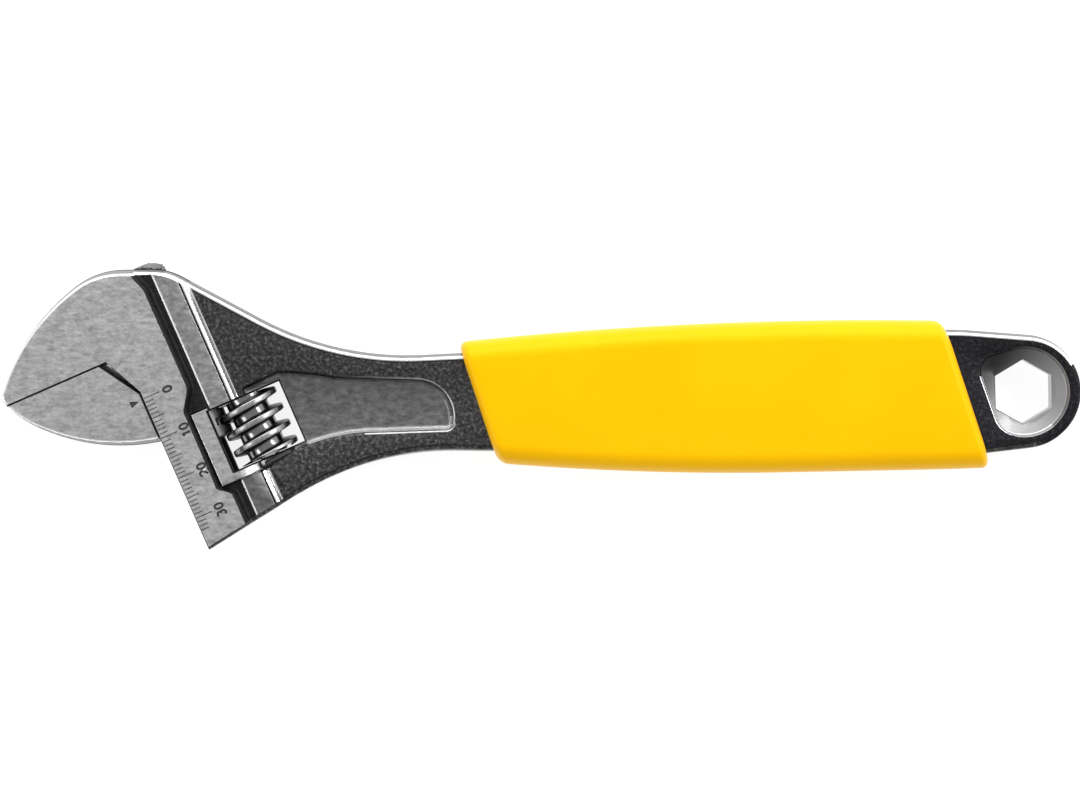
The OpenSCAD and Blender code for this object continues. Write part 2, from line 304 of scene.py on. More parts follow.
def turned(name, profile, n, material, sides=64, smooth_angle=32):
    """A solid turned about a line along t at the given n. profile is a list of (t, radius) that starts
    and ends on the line, with a radius of 0, or else is closed into a ring."""
    points, faces, rows = [], [], []
    for t, radius in profile:
        if radius == 0:
            rows.append([len(points)])
            points.append((n, t, 0))
            continue
        rows.append(list(range(len(points), len(points) + sides)))
        for i in range(sides):
            a = 2 * math.pi * i / sides
            points.append((n + radius * math.cos(a), t, radius * math.sin(a)))
    for a, b in zip(rows, rows[1:] if profile[0][1] == 0 else rows[1:] + rows[:1]):
        for i in range(sides):
            j = (i + 1) % sides
            if len(a) == 1:
                faces.append([a[0], b[i], b[j]])
            elif len(b) == 1:
                faces.append([a[i], b[0], a[j]])
            else:
                faces.append([a[i], b[i], b[j], a[j]])
    return mesh_object(name, head_to_frame(points), faces, [material], smooth_angle=smooth_angle)


def swept(rows):
    """Faces round a run of rows with equally many points, and over both of its ends."""
    size, count = len(rows[0]), len(rows)
    faces = []
    for k in range(count - 1):
        for i in range(size):
            a, b = k * size + i, k * size + (i + 1) % size
            faces.append([a, b, b + size, a + size])
    faces.append(list(reversed(range(size))))
    faces.append([(count - 1) * size + i for i in range(size)])
    return faces


def two_skins(name, lines, keep, height, paint, materials):
    """A solid between z = height(x, y) and its mirror image, over the points that keep() accepts.
    lines are where the skin bends or ends: pairs of a list of points and whether it is closed."""
    coords, edges = [], []
    for line, closed in lines:
        start = len(coords)
        coords += [Vector(p) for p in line]
        edges += [(start + i, start + i + 1) for i in range(len(line) - 1)]
        if closed:
            edges.append((start + len(line) - 1, start))
    found, _, triangles, _, _, _ = delaunay_2d_cdt(coords, edges, [], 0, 1e-4)
    xy = np.array([tuple(v) for v in found])
    triangles = np.array(triangles)
    middle = xy[triangles].mean(1)
    triangles = triangles[keep(middle[:, 0], middle[:, 1])]
    z = np.maximum(height(xy[:, 0], xy[:, 1]), 0)
    z[z < 1e-4] = 0
    triangles = triangles[(z[triangles] > 0).any(1)]
    used, flat = np.unique(triangles, return_inverse=True)
    triangles, xy, z = flat.reshape(-1, 3), xy[used], z[used]
    thick = z > 0
    below = np.arange(len(xy))
    below[thick] = len(xy) + np.arange(thick.sum())
    points = np.column_stack([np.vstack([xy, xy[thick]]), np.concatenate([z, -z[thick]])])
    a, b = xy[triangles[:, 1]] - xy[triangles[:, 0]], xy[triangles[:, 2]] - xy[triangles[:, 0]]
    turn = a[:, 0] * b[:, 1] - a[:, 1] * b[:, 0] < 0
    triangles[turn] = triangles[turn][:, ::-1]
    faces = [list(f) for f in triangles] + [list(below[f[::-1]]) for f in triangles]
    directed = {(f[i], f[(i + 1) % 3]) for f in triangles.tolist() for i in range(3)}
    for i, j in sorted(directed):
        if (j, i) not in directed:
            wall = [below[i], below[j], j, i]
            wall = [v for k, v in enumerate(wall) if v != wall[k - 1]]
            if len(wall) > 2:
                faces.append(wall)
    centre = np.array([points[f].mean(0) for f in faces])
    slope = np.array([abs(normal_z(points[f])) for f in faces])
    return mesh_object(name, to_frame(points), faces, materials, paint(centre, slope))


def normal_z(corners):
    """How far up a face points: 1 for level, 0 for upright."""
    n = np.cross(corners[1] - corners[0], corners[2] - corners[0])
    return n[2] / max(np.linalg.norm(n), 1e-12)


# ---- materials ----

def shader(name, colour, metallic, roughness, **sockets):
    """A new material with a Principled shader, whose even values are set on its own sockets."""
    material = bpy.data.materials.new(name)
    material.use_nodes = True
    tree = material.node_tree
    principled = tree.nodes["Principled BSDF"]
    principled.inputs["Base Color"].default_value = (*colour, 1)
    principled.inputs["Metallic"].default_value = metallic
    principled.inputs["Roughness"].default_value = roughness
    for socket, value in sockets.items():
        principled.inputs[socket.replace("_", " ")].default_value = value
    return material, tree, principled


def texture_space(tree, scale=(1, 1, 1), turn=0.0):
    """Object coordinates, turned about z and scaled."""
    place = tree.nodes.new("ShaderNodeTexCoord")
    mapping = tree.nodes.new("ShaderNodeMapping")
    mapping.inputs["Rotation"].default_value = (0, 0, turn)
    mapping.inputs["Scale"].default_value = scale
    tree.links.new(place.outputs["Object"], mapping.inputs["Vector"])
    return mapping.outputs["Vector"]


def noise(tree, space, scale, detail=4.0, rough=0.55):
    node = tree.nodes.new("ShaderNodeTexNoise")
    node.inputs["Scale"].default_value = scale
    node.inputs["Detail"].default_value = detail
    node.inputs["Roughness"].default_value = rough
    tree.links.new(space, node.inputs["Vector"])
    return node.outputs["Fac"]


def remap(tree, value, low, high, from_low=0.3, from_high=0.7, kind="LINEAR"):
    """A value moved from one range to another, and held within it."""
    node = tree.nodes.new("ShaderNodeMapRange")
    node.interpolation_type = kind
    numbers = {"From Min": from_low, "From Max": from_high, "To Min": low, "To Max": high}
    for socket, number in numbers.items():
        node.inputs[socket].default_value = number
    tree.links.new(value, node.inputs["Value"])
    return node.outputs["Result"]


def sheen(tree, principled, value, low, high):
    """Roughness that varies with a value."""
    tree.links.new(remap(tree, value, low, high), principled.inputs["Roughness"])


def colours(tree, principled, value, stops):
    """Base colour that varies with a value. stops are (place, colour)."""
    node = tree.nodes.new("ShaderNodeValToRGB")
    bar = node.color_ramp.elements
    while len(bar) < len(stops):
        bar.new(0.5)
    for element, (place, colour) in zip(bar, stops):
        element.position = place
        element.color = (*colour, 1)
    tree.links.new(value, node.inputs["Fac"])
    tree.links.new(node.outputs["Color"], principled.inputs["Base Color"])


def bump(tree, principled, heights):
    """Adds bumps from (height value, strength, distance in mm), the finest last."""
    normal = None
    for height, strength, distance in heights:
        node = tree.nodes.new("ShaderNodeBump")
        node.inputs["Strength"].default_value = strength
        node.inputs["Distance"].default_value = distance * MM
        tree.links.new(height, node.inputs["Height"])
        if normal is not None:
            tree.links.new(normal, node.inputs["Normal"])
        normal = node.outputs["Normal"]
    tree.links.new(normal, principled.inputs["Normal"])


HEAD_TURN = -math.atan2(N[1], N[0])  # turns the texture's x to lie along n


def grey(value):
    return (value, value, value * 1.005)


def ground_steel():
    """Faces ground flat, with faint strokes across the head and a mottled satin sheen."""
    material, tree, principled = shader("ground_steel", grey(0.5), 1, 0.36)
    strokes = noise(tree, texture_space(tree, (0.16, 1, 1), HEAD_TURN), 1300, 3)
    blotches = noise(tree, texture_space(tree, (0.6, 1, 1), HEAD_TURN), 1000, 6, 0.75)
    colours(tree, principled, blotches, [(0.32, grey(0.38)), (0.5, grey(0.6)), (0.68, grey(0.8))])
    sheen(tree, principled, strokes, 0.3, 0.46)
    bump(tree, principled, [(blotches, 0.35, 0.05), (strokes, 0.3, 0.02)])
    return material


def polished_steel():
    """Plated edges, buffed bright; the same steel is also painted onto some walls, rims and the ledge as a
    painted highlight.
    """
    material, tree, principled = shader("polished_steel", grey(0.9), 1, 0.2)
    waves = noise(tree, texture_space(tree), 260, 3)
    sheen(tree, principled, waves, 0.16, 0.3)
    bump(tree, principled, [(waves, 0.2, 0.05)])
    return material


def forged_steel(name, dark, middle, light, tint=1.0):
    """Webs left as forged under the plating: dark, rough and speckled. The dark base colour is partly a
    painted dark reflection, and the same steel is painted onto edges and walls as painted shade.
    """
    material, tree, principled = shader(name, grey(middle), 1, 0.4)
    space = texture_space(tree)
    grains = noise(tree, space, 2300, 4, 0.7)
    patches = noise(tree, space, 1150, 6, 0.75)
    tones = [(value, value * (0.5 + tint / 2), value * (2 - tint)) for value in (dark, middle, light)]
    stops = list(zip((0.34, 0.52, 0.72), tones))
    colours(tree, principled, patches, stops)
    sheen(tree, principled, grains, 0.3, 0.55)
    bump(tree, principled, [(patches, 0.5, 0.12), (grains, 0.5, 0.06)])
    return material


def satin_steel(name, value, roughness):
    """Plated steel between bright and forged, for the strip, the lip and the floors of recesses."""
    material, tree, principled = shader(name, grey(value), 1, roughness)
    space = texture_space(tree, (0.6, 1, 1), HEAD_TURN)
    cloud = noise(tree, space, 900, 6, 0.7)
    colours(tree, principled, cloud, [(0.32, grey(value * 0.65)), (0.68, grey(value * 1.35))])
    sheen(tree, principled, cloud, roughness - 0.08, roughness + 0.08)
    bump(tree, principled, [(cloud, 0.35, 0.06), (noise(tree, space, 1700, 3), 0.25, 0.02)])
    return material


DISH_SHADE = 150         # angle round the ring towards which its dish is left dark
DISH_SHADE_FROM = -4     # how far that way from the ring's centre the darkening starts
DISH_SHADE_TO = 10       # and is full


def dish_steel():
    """Satin steel for the ring's dish, darkening towards the handle, where it lies in shade."""
    material, tree, principled = shader("dish_steel", grey(0.3), 1, 0.42)
    lean = math.radians(DISH_SHADE)
    place = tree.nodes.new("ShaderNodeTexCoord")
    across = tree.nodes.new("ShaderNodeVectorMath")
    across.operation = "DOT_PRODUCT"
    across.inputs[1].default_value = (math.cos(lean), math.sin(lean), 0)
    tree.links.new(place.outputs["Object"], across.inputs[0])
    centre = RING[0] * math.cos(lean)
    shade = remap(tree, across.outputs["Value"], 0, 1, (centre + DISH_SHADE_FROM) * MM,
                  (centre + DISH_SHADE_TO) * MM, "SMOOTHSTEP")
    colours(tree, principled, shade, [(0, grey(0.36)), (1, grey(0.05))])
    cloud = noise(tree, texture_space(tree, (0.6, 1, 1), HEAD_TURN), 900, 6, 0.7)
    bump(tree, principled, [(cloud, 0.35, 0.06)])
    return material


def turned_steel(name, value, roughness):
    """Turned and plated steel, for the worm, its pin, the rail and the spring."""
    material, tree, principled = shader(name, grey(value), 1, roughness)
    marks = noise(tree, texture_space(tree, (1, 0.15, 1), HEAD_TURN), 1600, 3)
    sheen(tree, principled, marks, roughness - 0.07, roughness + 0.09)
    colours(tree, principled, marks, [(0.3, grey(value * 0.88)), (0.7, grey(value * 1.08))])
    bump(tree, principled, [(marks, 0.25, 0.02)])
    return material


def ink():
    """The darkened bottoms of the stamped marks."""
    material, tree, principled = shader("stamped_dark", grey(0.03), 0.6, 0.6)
    specks = noise(tree, texture_space(tree), 2500, 3)
    colours(tree, principled, specks, [(0.3, grey(0.02)), (0.7, grey(0.09))])
    bump(tree, principled, [(specks, 0.4, 0.03)])
    return material


def yellow_vinyl():
    """Dipped vinyl: a soft sheen over a very fine, slightly uneven skin."""
    material, tree, principled = shader("yellow_vinyl", (0.95, 0.56, 0.004), 0, 0.42,
                                        Specular_IOR_Level=0.45, Specular_Tint=(1, 0.8, 0.12, 1))
    space = texture_space(tree)
    skin = noise(tree, space, 1800, 3)
    tone = noise(tree, space, 45, 3)
    colours(tree, principled, tone, [(0.3, (0.96, 0.5, 0.0008)), (0.7, (0.99, 0.53, 0.0012))])
    sheen(tree, principled, tone, 0.32, 0.4)
    bump(tree, principled, [(tone, 0.1, 0.3), (skin, 0.12, 0.02)])
    return material


GROUND = ground_steel()
POLISHED_AND_GLINT = polished_steel()
WEB_AND_SHADE = forged_steel("forged_steel", 0.022, 0.075, 0.3)
# a darker copy, for the web by the ring and for painted shade on walls, edge lines and the ring's far side
DARK_WEB_AND_SHADE = forged_steel("dark_web_and_shade_steel", 0.014, 0.026, 0.08, 0.9)
# satin steel for the strip and the cut faces, also painted as a highlight on the strip's edge and the
# recess's right wall
SATIN_AND_GLINT = satin_steel("satin_steel", 0.42, 0.34)
FLOOR = satin_steel("recess_floor", 0.2, 0.4)
DISH_STEEL = dish_steel()
# near-black steel painted into grooves, gaps, bores, walls and dark lines as painted shade
PAINTED_SHADE = satin_steel("painted_shade_wall", 0.025, 0.55)
WORM_STEEL = turned_steel("worm_steel", 0.28, 0.16)
# a lighter copy of the worm's steel for the thread's crests, as painted highlight
CREST_LIT_STEEL = turned_steel("crest_lit_steel", 0.42, 0.3)
# a near-black copy for the thread's flanks, as painted shade
FLANK_SHADE_STEEL = turned_steel("flank_shade_steel", 0.07, 0.35)
PIN_STEEL = turned_steel("pin_steel", 0.4, 0.32)
# the rail's steel, darkened as painted shade where it lies under the head
RAIL_SHADE_STEEL = turned_steel("rail_shade_steel", 0.09, 0.35)
WIRE_STEEL = turned_steel("wire_steel", 0.5, 0.25)
INK = ink()
VINYL = yellow_vinyl()


# ---- body ----

SIDE_ROUND = 0.9         # radius of the round edge above the draft of the sides
HIGH_RUN = 0.9           # how far the draft leans in at the ground faces
LOW_RUN = 0.48           # and at the handle's faces
HEEL_RUN = 0.1           # and along the heel
EDGE_DARK = 0.3          # width of the painted shade line inside the round edge of the webs
OUTLINE_DARK = 0.22      # width of the painted shade along the foot of the jaws' sides
PAD_EDGE = ((-30, -16, -11, 12, 18.4, 36.4, 39.5, 60),     # places t along the ground face's edge,
            (-1.0, -1.0, 0.3, 0.4, -2.6, -2.7, 0.1, 0.3))  # and n of the edge at each
PAD_SLOPE = 1.7          # fall of its side for each millimetre across, as for the slopes below
STRIP = (3.4, 7.9)       # n of the strip's two edges
STRIP_SLOPE = 0.5        # of its side towards the ground face
LEDGE_SLOPE = 2.0
LEDGE_N = 9.2            # the step's handle side
LEDGE_TILT = 0.36        # slope of the narrow ledge between it and the strip
LIP_T = (18.9, 36.6)
LIP_N = -1.45            # the lip's edge beside the ground face
SILL_N = 9.6             # how far it runs on below the window
LIP_SLOPE = 2.0
PANEL_H = 3.0            # half thickness left at the bottom of the neck panel
PANEL_SLOPE = 1.4
DISH_DEPTH = 1.1         # of the dish's slope towards the hole, below its steep rim
DISH_WIDTH = 3.2
DISH_RIM = 0.8           # depth of the steep rim
DISH_RIM_W = 0.5
EDGE_CUT = 0.2           # the small chamfer on machined edges
WINDOW_DARK = 0.35       # width of the painted shade line round the window
BOSS_ROUND = 4.6         # radius of the boss's rounded end
BOSS_END_T = -7          # where the boss runs out in the head
VENT_R = 0.8             # of the vent through the boss's end
BORE_END_T = -12.6       # where the rail's bore narrows to the vent
HEAD_X = -50             # the head is on the low side of this, the jaws of this:
JAWS_X = -80
LOW_Y = -3               # and the handle's low edge of this
STRIP_LINE = 0.45        # width of the painted shade line between the strip and the ledge
PANEL_LIP = 0.2          # how far the neck panel's wall reaches out and in from its outline
PANEL_WALL = 1.0
UPRIGHT = 0.05           # slopes below which a face counts as upright, and above which as level
LEVEL = 0.98
WEB_DARK = 25            # how far from the ring's centre the darker web starts
DISH_GLINT = (160, 310)  # angles round the ring between which the dish's rim is painted as a polished highlight
SIDE_GLINT = (28, 180)   # and between which the ring's own side keeps its bright edge; beyond them it is painted in shade
FAR = 70                 # well outside the head
PAD_GRID = 3.1           # spacing of the points that hold the ground faces level

JAW_OPENING = head_line((-FAR, 0), THROAT[0], THROAT[1], (FRONT_N, FAR), (-FAR, FAR))
MACHINED = head_line((-FAR, 0), THROAT[0], THROAT[1], (FRONT_N, FAR))
BOSS_AREA = rectangle(BOSS_N - BOSS_R, BOSS_N + BOSS_R, BOSS_T, -8)
BODY_STEELS = [GROUND, POLISHED_AND_GLINT, WEB_AND_SHADE, SATIN_AND_GLINT, FLOOR, PAINTED_SHADE, DARK_WEB_AND_SHADE, DISH_STEEL]
BODY_LINE = chain(BODY)
PANEL_LINE = chain(PANEL)
DISH_LINE = chain(DISH)


def pad_edge(t):
    """n of the ground face's edge, easing from each place of PAD_EDGE to the next."""
    at, edge = np.array(PAD_EDGE)
    k = np.clip(np.searchsorted(at, t) - 1, 0, len(at) - 2)
    u = np.clip((t - at[k]) / (at[k + 1] - at[k]), 0, 1)
    return edge[k] + (edge[k + 1] - edge[k]) * u * u * (3 - 2 * u)


def boss_height(n, t):
    """Half thickness of the boss over the rail's bore, with a rounded end."""
    into = np.clip((t - BOSS_T) / BOSS_ROUND, 0, 1)
    r = BOSS_R - BOSS_ROUND * (1 - np.sqrt(1 - (1 - into) ** 2))
    out = np.sqrt(np.maximum(r ** 2 - (n - BOSS_N) ** 2, 0))
    return np.where((t >= BOSS_T - 1e-6) & (t < BOSS_END_T), out, 0)


def side_rows(run):
    """Distances in from the outline where a side with that draft bends."""
    return [run] + [run + SIDE_ROUND * (1 - math.cos(math.radians(a))) for a in range(15, 91, 15)]


def side_run(top, y):
    """The draft's lean: wider on the taller head, and next to none under the heel."""
    tall = np.interp(top, (HANDLE_H, HEAD_H), (LOW_RUN, HIGH_RUN))
    return HEEL_RUN + (tall - HEEL_RUN) * np.clip((y + 16) / 6, 0, 1)


def lip_end(t):
    """n where the lip stops: beside the window, and further on below it."""
    return np.where(t > WINDOW[2] + 5, SILL_N, WINDOW[0] + 0.3)


def body_height(x, y):
    """Half thickness of the body."""
    n, t = head_axes(x, y)
    d = depth_inside(x, y, BODY_LINE)
    pad = plateau(HEAD_H, n - pad_edge(t) - 0.2, PAD_SLOPE, 0.9)
    strip = plateau(STRIP_H, np.maximum((STRIP[0] - n) * STRIP_SLOPE, (n - STRIP[1]) * LEDGE_SLOPE), 1, 0.2)
    ledge = SHELF_H - LEDGE_TILT * np.maximum(n - STRIP[1] - 0.4, 0)
    shelf = plateau(ledge, n - LEDGE_N, LEDGE_SLOPE, 0.25)
    strip = smooth_max(strip, shelf, 0.15)
    beyond = np.maximum(np.maximum(LIP_T[0] - t, t - LIP_T[1]), np.maximum(LIP_N - n, n - lip_end(t)))
    lip = plateau(LIP_H, beyond, LIP_SLOPE, 0.25)
    top = smooth_max(smooth_max(pad, strip, 0.5), smooth_max(lip, HANDLE_H + 0 * n, 0.5), 0.4)
    z = forged_side(d, top, side_run(top, y), SIDE_ROUND)
    boss = boss_height(n, t)
    z = smooth_max(z, boss, np.clip(np.maximum(z, boss), 1e-6, 1.2))
    inward = depth_inside(x, y, PANEL_LINE)
    z = smooth_min(z, smooth_max(HANDLE_H - PANEL_SLOPE * inward, PANEL_H + 0 * z, 0.7), 0.4)
    inward = depth_inside(x, y, DISH_LINE)
    rim = inward / DISH_RIM_W
    bowl = HANDLE_H - DISH_DEPTH * np.clip(inward / DISH_WIDTH, 0, 1)
    bowl -= np.where(rim > 0, DISH_RIM * np.sin(np.minimum(rim, 1) * math.pi / 2), rim * 2)
    z = smooth_min(z, bowl, 0.2)
    near = line_distance(x, y, MACHINED, False)
    near = np.minimum(near, line_distance(x, y, rectangle(*WINDOW)))
    near = np.minimum(near, line_distance(x, y, hexagon()))
    return np.where(z > EDGE_CUT * 2, z - np.maximum(EDGE_CUT - near, 0), z)


def body_keep(x, y):
    """Whether the body covers each point."""
    solid = inside(x, y, BODY_LINE) | inside(x, y, BOSS_AREA)
    for hole in (JAW_OPENING, rectangle(*WINDOW), hexagon()):
        solid &= ~inside(x, y, hole)
    return solid


def body_lines():
    """Where the body's skin bends: the rows of its side, the head's steps, the recesses and the holes."""
    lines = []

    def along(*points):
        lines.append((head_line(*points), False))

    def around(line):
        lines.append((line, True))

    depths = {0, OUTLINE_DARK, LOW_RUN + SIDE_ROUND + EDGE_DARK}
    for run in (HEEL_RUN, LOW_RUN, HIGH_RUN):
        depths.update(side_rows(run))
    for depth in sorted(depths):
        around(chain(BODY, depth))
    for u in np.arange(-0.4, 1.9, 0.2):
        along(*[(pad_edge(t) + u, t) for t in np.arange(-20, 56, 0.8)])
    fall = (STRIP_H - SHELF_H) / STRIP_SLOPE
    rows = [STRIP[0] - s for s in (-0.2, -0.1, 0, 0.1, 0.4, fall - 0.1, fall, fall + 0.15)]
    rows += [STRIP[1] + s for s in (-0.1, 0, 0.15, 0.3, STRIP_LINE)]
    fall = (SHELF_H - HANDLE_H) / LEDGE_SLOPE
    rows += [LEDGE_N + s for s in (-0.15, 0, 0.15, fall - 0.2, fall, fall + 0.2)]
    for n in rows:
        along((n, -FAR), (n, FAR))
    for n in np.arange(-45, 0, PAD_GRID):
        along((n, -16), (n, 55))
    for t in np.arange(-16, 55, PAD_GRID):
        along((-45, t), (0, t))
    fall = (LIP_H - SHELF_H) / LIP_SLOPE
    for s in (-0.2, 0, 0.2, fall - 0.2, fall, fall + 0.2):
        for t in (LIP_T[0] - s, LIP_T[1] + s):
            along((-3, t), (SILL_N + 0.8, t))
        for n in (LIP_N - s, SILL_N + s):
            along((n, LIP_T[0] - 0.5), (n, LIP_T[1] + 0.8))
    for inset in (-0.25, 0, 0.15, 0.35, 0.7, 1.0, 1.2, 1.5):
        around(chain(PANEL, inset))
    for inset in (-0.15, 0, 0.1, 0.2, 0.3, 0.4, 0.5, 0.7, 1.2, 2, 2.7, DISH_WIDTH):
        around(chain(DISH, inset))
    for grow in (0, EDGE_CUT, WINDOW_DARK):
        around(rectangle(*WINDOW, grow=grow))
    for grow in (0, EDGE_CUT):
        around(hexagon(grow))
    lines.append((MACHINED, False))
    along((-FAR, -EDGE_CUT), (THROAT[0][0] + 0.06, -EDGE_CUT), (FRONT_N + EDGE_CUT, THROAT[1][1] - 0.06),
          (FRONT_N + EDGE_CUT, FAR))
    for a in range(-90, 91, 10):
        n = BOSS_N + BOSS_R * math.sin(math.radians(a))
        along((n, BOSS_T), (n, BOSS_END_T))
    for s in (0, 0.05, 0.15, 0.35, 0.6, 1, 1.5, 2.2, 3, 4, BOSS_ROUND, 5.5, 7):
        along((BOSS_N - BOSS_R, BOSS_T + s), (BOSS_N + BOSS_R, BOSS_T + s))
    return lines


def body_paint(centre, slope):
    """Which of the body's materials each face has."""
    x, y = centre[:, 0], centre[:, 1]
    n, t = head_axes(x, y)
    edge = depth_inside(x, y, BODY_LINE)
    window = line_distance(x, y, rectangle(*WINDOW))
    upright = slope < UPRIGHT
    slots, use = painter(BODY_STEELS, len(x), WEB_AND_SHADE)
    use(DARK_WEB_AND_SHADE, x > RING[0] - WEB_DARK)
    # the head's steps: painted shade in the groove beside the ground face and along the strip's and step's
    # edges, and painted highlights on the strip's edge and the ledge
    head = x < HEAD_X
    beside = n - pad_edge(t)
    ledge_fall = (SHELF_H - HANDLE_H) / LEDGE_SLOPE
    use(PAINTED_SHADE, head & (n < STRIP[0]))
    use(SATIN_AND_GLINT, head & within(n, STRIP[0] - 0.4, STRIP[0] + 0.1))
    use(SATIN_AND_GLINT, head & within(n, *STRIP))
    use(FLOOR, head & within(n, *STRIP) & (t > LIP_T[1]))
    use(PAINTED_SHADE, head & within(n, STRIP[1], STRIP[1] + STRIP_LINE))
    use(POLISHED_AND_GLINT, head & within(n, STRIP[1] + STRIP_LINE, LEDGE_N + ledge_fall))
    use(PAINTED_SHADE, head & within(n, LEDGE_N - 0.15, LEDGE_N))
    use(GROUND, within(t, LIP_T[0], LIP_T[1] + 0.2) & within(n, LIP_N - 0.05, lip_end(t)))
    use(GROUND, head & (beside < -0.25) & (n < STRIP[0]))
    # the neck's recess and the ring's dish: painted shade on the recess's upper wall, and painted highlights
    # on its lower and right walls and on the dish's rim
    panel = depth_inside(x, y, PANEL_LINE)
    wall = within(panel, -PANEL_LIP, PANEL_WALL)
    use(FLOOR, panel > -PANEL_LIP)
    # painted shade on the recess's walls, then painted highlights of polished and satin steel on its lower
    # and right walls
    use(DARK_WEB_AND_SHADE, wall & (panel < 0.35))
    use(POLISHED_AND_GLINT, wall & (y < LOW_Y) & (panel > 0.3))
    use(WEB_AND_SHADE, wall & (y < LOW_Y) & (panel <= 0.3))
    use(SATIN_AND_GLINT, wall & (x > -36) & (panel < 0.12))
    dish = depth_inside(x, y, DISH_LINE)
    angle = np.degrees(np.arctan2(y, x - RING[0])) % 360
    use(DISH_STEEL, dish > -0.1)
    use(POLISHED_AND_GLINT, within(dish, -0.1, DISH_RIM_W) & within(angle, *DISH_GLINT))
    # the sides: polished round edges, with painted shade on the low side, under the heel, on the ring's far
    # side and in dark lines along the edges and feet
    # the ring's side outside SIDE_GLINT's angles is painted in shade
    shaded_side = (x > RING[0] + 4) & ((angle < SIDE_GLINT[0]) | (angle > SIDE_GLINT[1]))
    run = side_run(np.where(beside < 0.5, HEAD_H, HANDLE_H), y)
    low = (y < LOW_Y) & (x > JAWS_X)
    use(PAINTED_SHADE, (edge < run + SIDE_ROUND + EDGE_DARK) & (beside > 2) & (n > LEDGE_N + 1))
    rounded = edge < run + SIDE_ROUND * np.where(beside < 0.5, 0.7, 1)
    use(POLISHED_AND_GLINT, rounded)
    # on the low side the round edge keeps the dark web steel, as painted shade
    use(WEB_AND_SHADE, rounded & low)
    use(DARK_WEB_AND_SHADE, rounded & shaded_side)
    use(DARK_WEB_AND_SHADE, edge < run + SIDE_ROUND * 0.1)
    use(FLOOR, edge < run + 0.01)
    use(PAINTED_SHADE, (edge < run + 0.01) & head & low)
    use(PAINTED_SHADE, (np.abs(edge) < OUTLINE_DARK) & (x < JAWS_X))
    use(DARK_WEB_AND_SHADE, (edge < run + 0.01) & shaded_side)
    # edges and walls of the openings: painted shade on the machined chamfers, round the window, on the
    # throat's walls and in the window's walls
    use(PAINTED_SHADE, (slope < LEVEL) & (line_distance(x, y, MACHINED, False) < EDGE_CUT))
    use(PAINTED_SHADE, ~upright & (window < WINDOW_DARK))
    use(GROUND, upright & (edge > 0.05))
    use(PAINTED_SHADE, upright & (line_distance(x, y, head_line(*THROAT), False) < 0.3))
    use(PAINTED_SHADE, upright & (window < 0.05))
    use(SATIN_AND_GLINT, upright & (line_distance(x, y, hexagon()) < 0.05))
    return slots


def cut_box(name, n0, n1, t0, t1, height, material):
    """A box in the head's axes, centred on the mid-plane, for cutting with."""
    return prisms(name, [rectangle(n0, n1, t0, t1)], -height, height, material)


def stroke(points, width):
    """The outline of a line drawn with a pen of that width."""
    p = np.array(points, float)
    ahead = np.gradient(p, axis=0)
    ahead /= np.linalg.norm(ahead, axis=1)[:, None]
    across = np.column_stack([-ahead[:, 1], ahead[:, 0]]) * width / 2
    return [tuple(q) for q in np.vstack([p + across, (p - across)[::-1]])]


def swing(cx, cy, r, first, last, tall=1.0):
    """Points along an arc, made tall times as high."""
    return [(cx + r * math.cos(a), cy + r * tall * math.sin(a))
            for a in np.radians(np.linspace(first, last, 13))]


DIGIT_H = 2.0            # of the digits below, as drawn
DIGIT_SIZE = 1.12        # what they are scaled by
PEN = 0.46               # width of their strokes, as drawn
DIGITS = {
    "0": [swing(0.65, 1, 0.5, 80, 280, 1.75), swing(0.65, 1, 0.5, -85, 85, 1.75)],
    "1": [[(0.3, 1.45), (0.5, 1.65), (0.72, 1.9)], [(0.75, 1.88), (0.75, 0.9), (0.75, 0.1)]],
    "2": [swing(0.65, 1.35, 0.5, 165, -35), [(1.02, 1.0), (0.6, 0.5), (0.25, 0.16)],
          [(0.18, 0.12), (0.6, 0.12), (1.15, 0.12)]],
    "3": [swing(0.6, 1.42, 0.44, 140, -80), swing(0.6, 0.58, 0.5, 80, -140)],
}
DIGIT_STEP = 1.55
TICK_T = 11.0            # the zero tick
TICKS = 34
TICK_W = 0.2
TICK_START = 0.3         # from the head's front edge, as are the ends and the numbers below
TICK_END = {10: 4.2, 5: 3.2, 1: 2.3}  # for the tens, the fives and the rest
NUMBER_N = 6.1
NUMBER_SHIFT = 0.2       # how far the numbers above 0 stand past their ticks
MARK_DEPTH = 0.15


def number_strokes(text, n, t, flip, layer):
    """Outlines of one stroke of each digit of a number, whose text runs against t with its top towards
    lower n. flip is -1 for the underside, where it has to read the other way."""
    out = []
    for k, digit in enumerate(text):
        left = (k - len(text) / 2) * DIGIT_STEP
        for line in DIGITS[digit][layer:layer + 1]:
            shape = stroke(line, PEN)
            out.append(head_line(*[(n + (DIGIT_H / 2 - v) * DIGIT_SIZE, t - flip * (left + u) * DIGIT_SIZE)
                                   for u, v in shape]))
    return out


def scale_marks(side, layer):
    """A cutter for the millimetre scale on one face: ticks from the front edge, and a number every ten.
    Strokes that cross are on different layers."""
    outlines = []
    for i in range(TICKS if layer == 0 else 0):
        end = next(end for step, end in TICK_END.items() if i % step == 0)
        t = TICK_T + i
        outlines.append(rectangle(FRONT_N + TICK_START, FRONT_N + end, t - TICK_W / 2, t + TICK_W / 2))
    for i in range(0, TICKS, 10):
        t = TICK_T + i + (NUMBER_SHIFT if i else 0)
        outlines += number_strokes(str(i), FRONT_N + NUMBER_N, t, side, layer)
    low, high = sorted((side * (HEAD_H - MARK_DEPTH - 0.01 * layer), side * (HEAD_H + 1)))
    return prisms("marks", outlines, low, high, INK)


